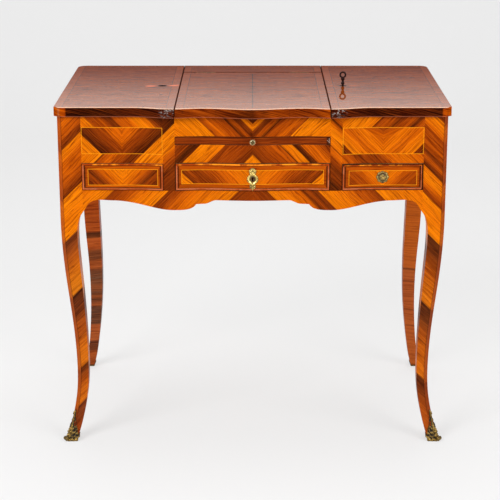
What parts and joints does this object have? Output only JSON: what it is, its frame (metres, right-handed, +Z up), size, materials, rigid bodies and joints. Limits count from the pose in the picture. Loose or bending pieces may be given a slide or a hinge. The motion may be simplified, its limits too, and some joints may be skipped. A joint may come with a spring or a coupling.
{
  "type": "poudreuse dressing table",
  "caption": "Dressing table on cabriole legs, with side lids over wells, a central lid that carries a mirror, a writing slide, drawers and a shaped apron.",
  "frame": {"origin": "on the floor, midway between the two sides and midway between the front and the back edge of the top", "axes": "+X towards the right-hand side seen from the front, -Y towards the front, +Z up"},
  "size_m": [0.8216, 0.514, 0.754],
  "materials": {
    "veneer": "polished figured veneer",
    "inner_wood": "plain waxed inner wood",
    "brass": "aged brass",
    "bronze": "dark patinated bronze",
    "steel": "dull steel",
    "iron": "dark worn iron",
    "mirror_glass": "silvered glass"
  },
  "bodies": {
    "carcass": {"back_panel": "inner_wood", "centre_drawer_runners": "inner_wood", "centre_rail": "veneer", "divider_stile_left": "veneer", "divider_stile_right": "veneer", "false_drawer_front": "veneer", "frieze_rail": "veneer", "front_apron": "veneer", "hinge_leaves_fixed": "brass", "hinge_pins": "brass", "leg_back_left": "veneer", "leg_back_right": "veneer", "leg_front_left": "veneer", "leg_front_right": "veneer", "mirror_lid_ledges": "inner_wood", "mirror_well_floor": "inner_wood", "partition_left": "inner_wood", "partition_right": "inner_wood", "rear_top_rail": "veneer", "right_drawer_runners": "inner_wood", "sabot_back_left": "bronze", "sabot_back_right": "bronze", "sabot_front_left": "bronze", "sabot_front_right": "bronze", "side_panel_left": "veneer", "side_panel_right": "veneer", "slide_runners": "inner_wood", "strike_plates": "brass", "upper_front_left": "veneer", "upper_front_right": "veneer", "well_floor_left": "inner_wood", "well_floor_right": "inner_wood"},
    "left_lid": {"lid_left": "veneer", "hinge_leaves_lid_left": "brass", "lock_case_left": "steel"},
    "right_lid": {"lid_right": "veneer", "hinge_leaves_lid_right": "brass", "lock_case_right": "steel"},
    "left_bolt": {"lock_bolt_left": "steel"},
    "right_bolt": {"lock_bolt_right": "steel"},
    "key": {"key": "iron"},
    "mirror_lid": {"mirror_lid": "veneer", "hinge_leaves_mirror_lid": "brass", "mirror_frame": "inner_wood", "mirror_glass": "mirror_glass"},
    "slide": {"writing_slide": "veneer", "slide_knob": "brass"},
    "centre_drawer": {"centre_drawer_front": "veneer", "centre_drawer_sides": "inner_wood", "centre_drawer_back": "inner_wood", "centre_drawer_bottom": "inner_wood", "escutcheon": "brass", "drawer_lock_case": "steel"},
    "drawer_bolt": {"drawer_lock_bolt": "steel"},
    "right_drawer": {"right_drawer_front": "veneer", "right_drawer_sides": "inner_wood", "right_drawer_back": "inner_wood", "right_drawer_bottom": "inner_wood", "right_drawer_pull": "brass"}
  },
  "joints": [
    {"name": "right_lid_hinge", "type": "hinge", "parent": "carcass", "child": "right_lid", "pos_m": [0.39715, 0, 0.704], "axis": [0, 1, 0], "range_deg": [0, 180]},
    {"name": "left_lid_hinge", "type": "hinge", "parent": "carcass", "child": "left_lid", "pos_m": [-0.39715, 0, 0.704], "axis": [0, -1, 0], "range_deg": [0, 180]},
    {"name": "mirror_lid_hinge", "type": "hinge", "parent": "carcass", "child": "mirror_lid", "pos_m": [0, 0.169, 0.721], "axis": [-1, 0, 0], "range_deg": [0, 102]},
    {"name": "slide_run", "type": "slide", "parent": "carcass", "child": "slide", "axis": [0, -1, 0], "range_m": [0, 0.23]},
    {"name": "centre_drawer_run", "type": "slide", "parent": "carcass", "child": "centre_drawer", "axis": [0, -1, 0], "range_m": [0, 0.27]},
    {"name": "right_drawer_run", "type": "slide", "parent": "carcass", "child": "right_drawer", "axis": [0, -1, 0], "range_m": [0, 0.27]},
    {"name": "key_turn", "type": "hinge", "parent": "right_lid", "child": "key", "pos_m": [0.1935, 0.005, 0.704], "axis": [0, 0, 1], "range_deg": [0, 360]},
    {"name": "right_bolt_throw", "type": "slide", "parent": "right_lid", "child": "right_bolt", "axis": [-1, 0, 0], "range_m": [0, 0.008]},
    {"name": "left_bolt_throw", "type": "slide", "parent": "left_lid", "child": "left_bolt", "axis": [1, 0, 0], "range_m": [0, 0.008]},
    {"name": "drawer_bolt_throw", "type": "slide", "parent": "centre_drawer", "child": "drawer_bolt", "axis": [0, 0, 1], "range_m": [0, 0.006]}
  ],
  "couplings": [
    {"joint": "key_turn", "follows": "right_bolt_throw", "rad_per_m": 785.39}
  ]
}
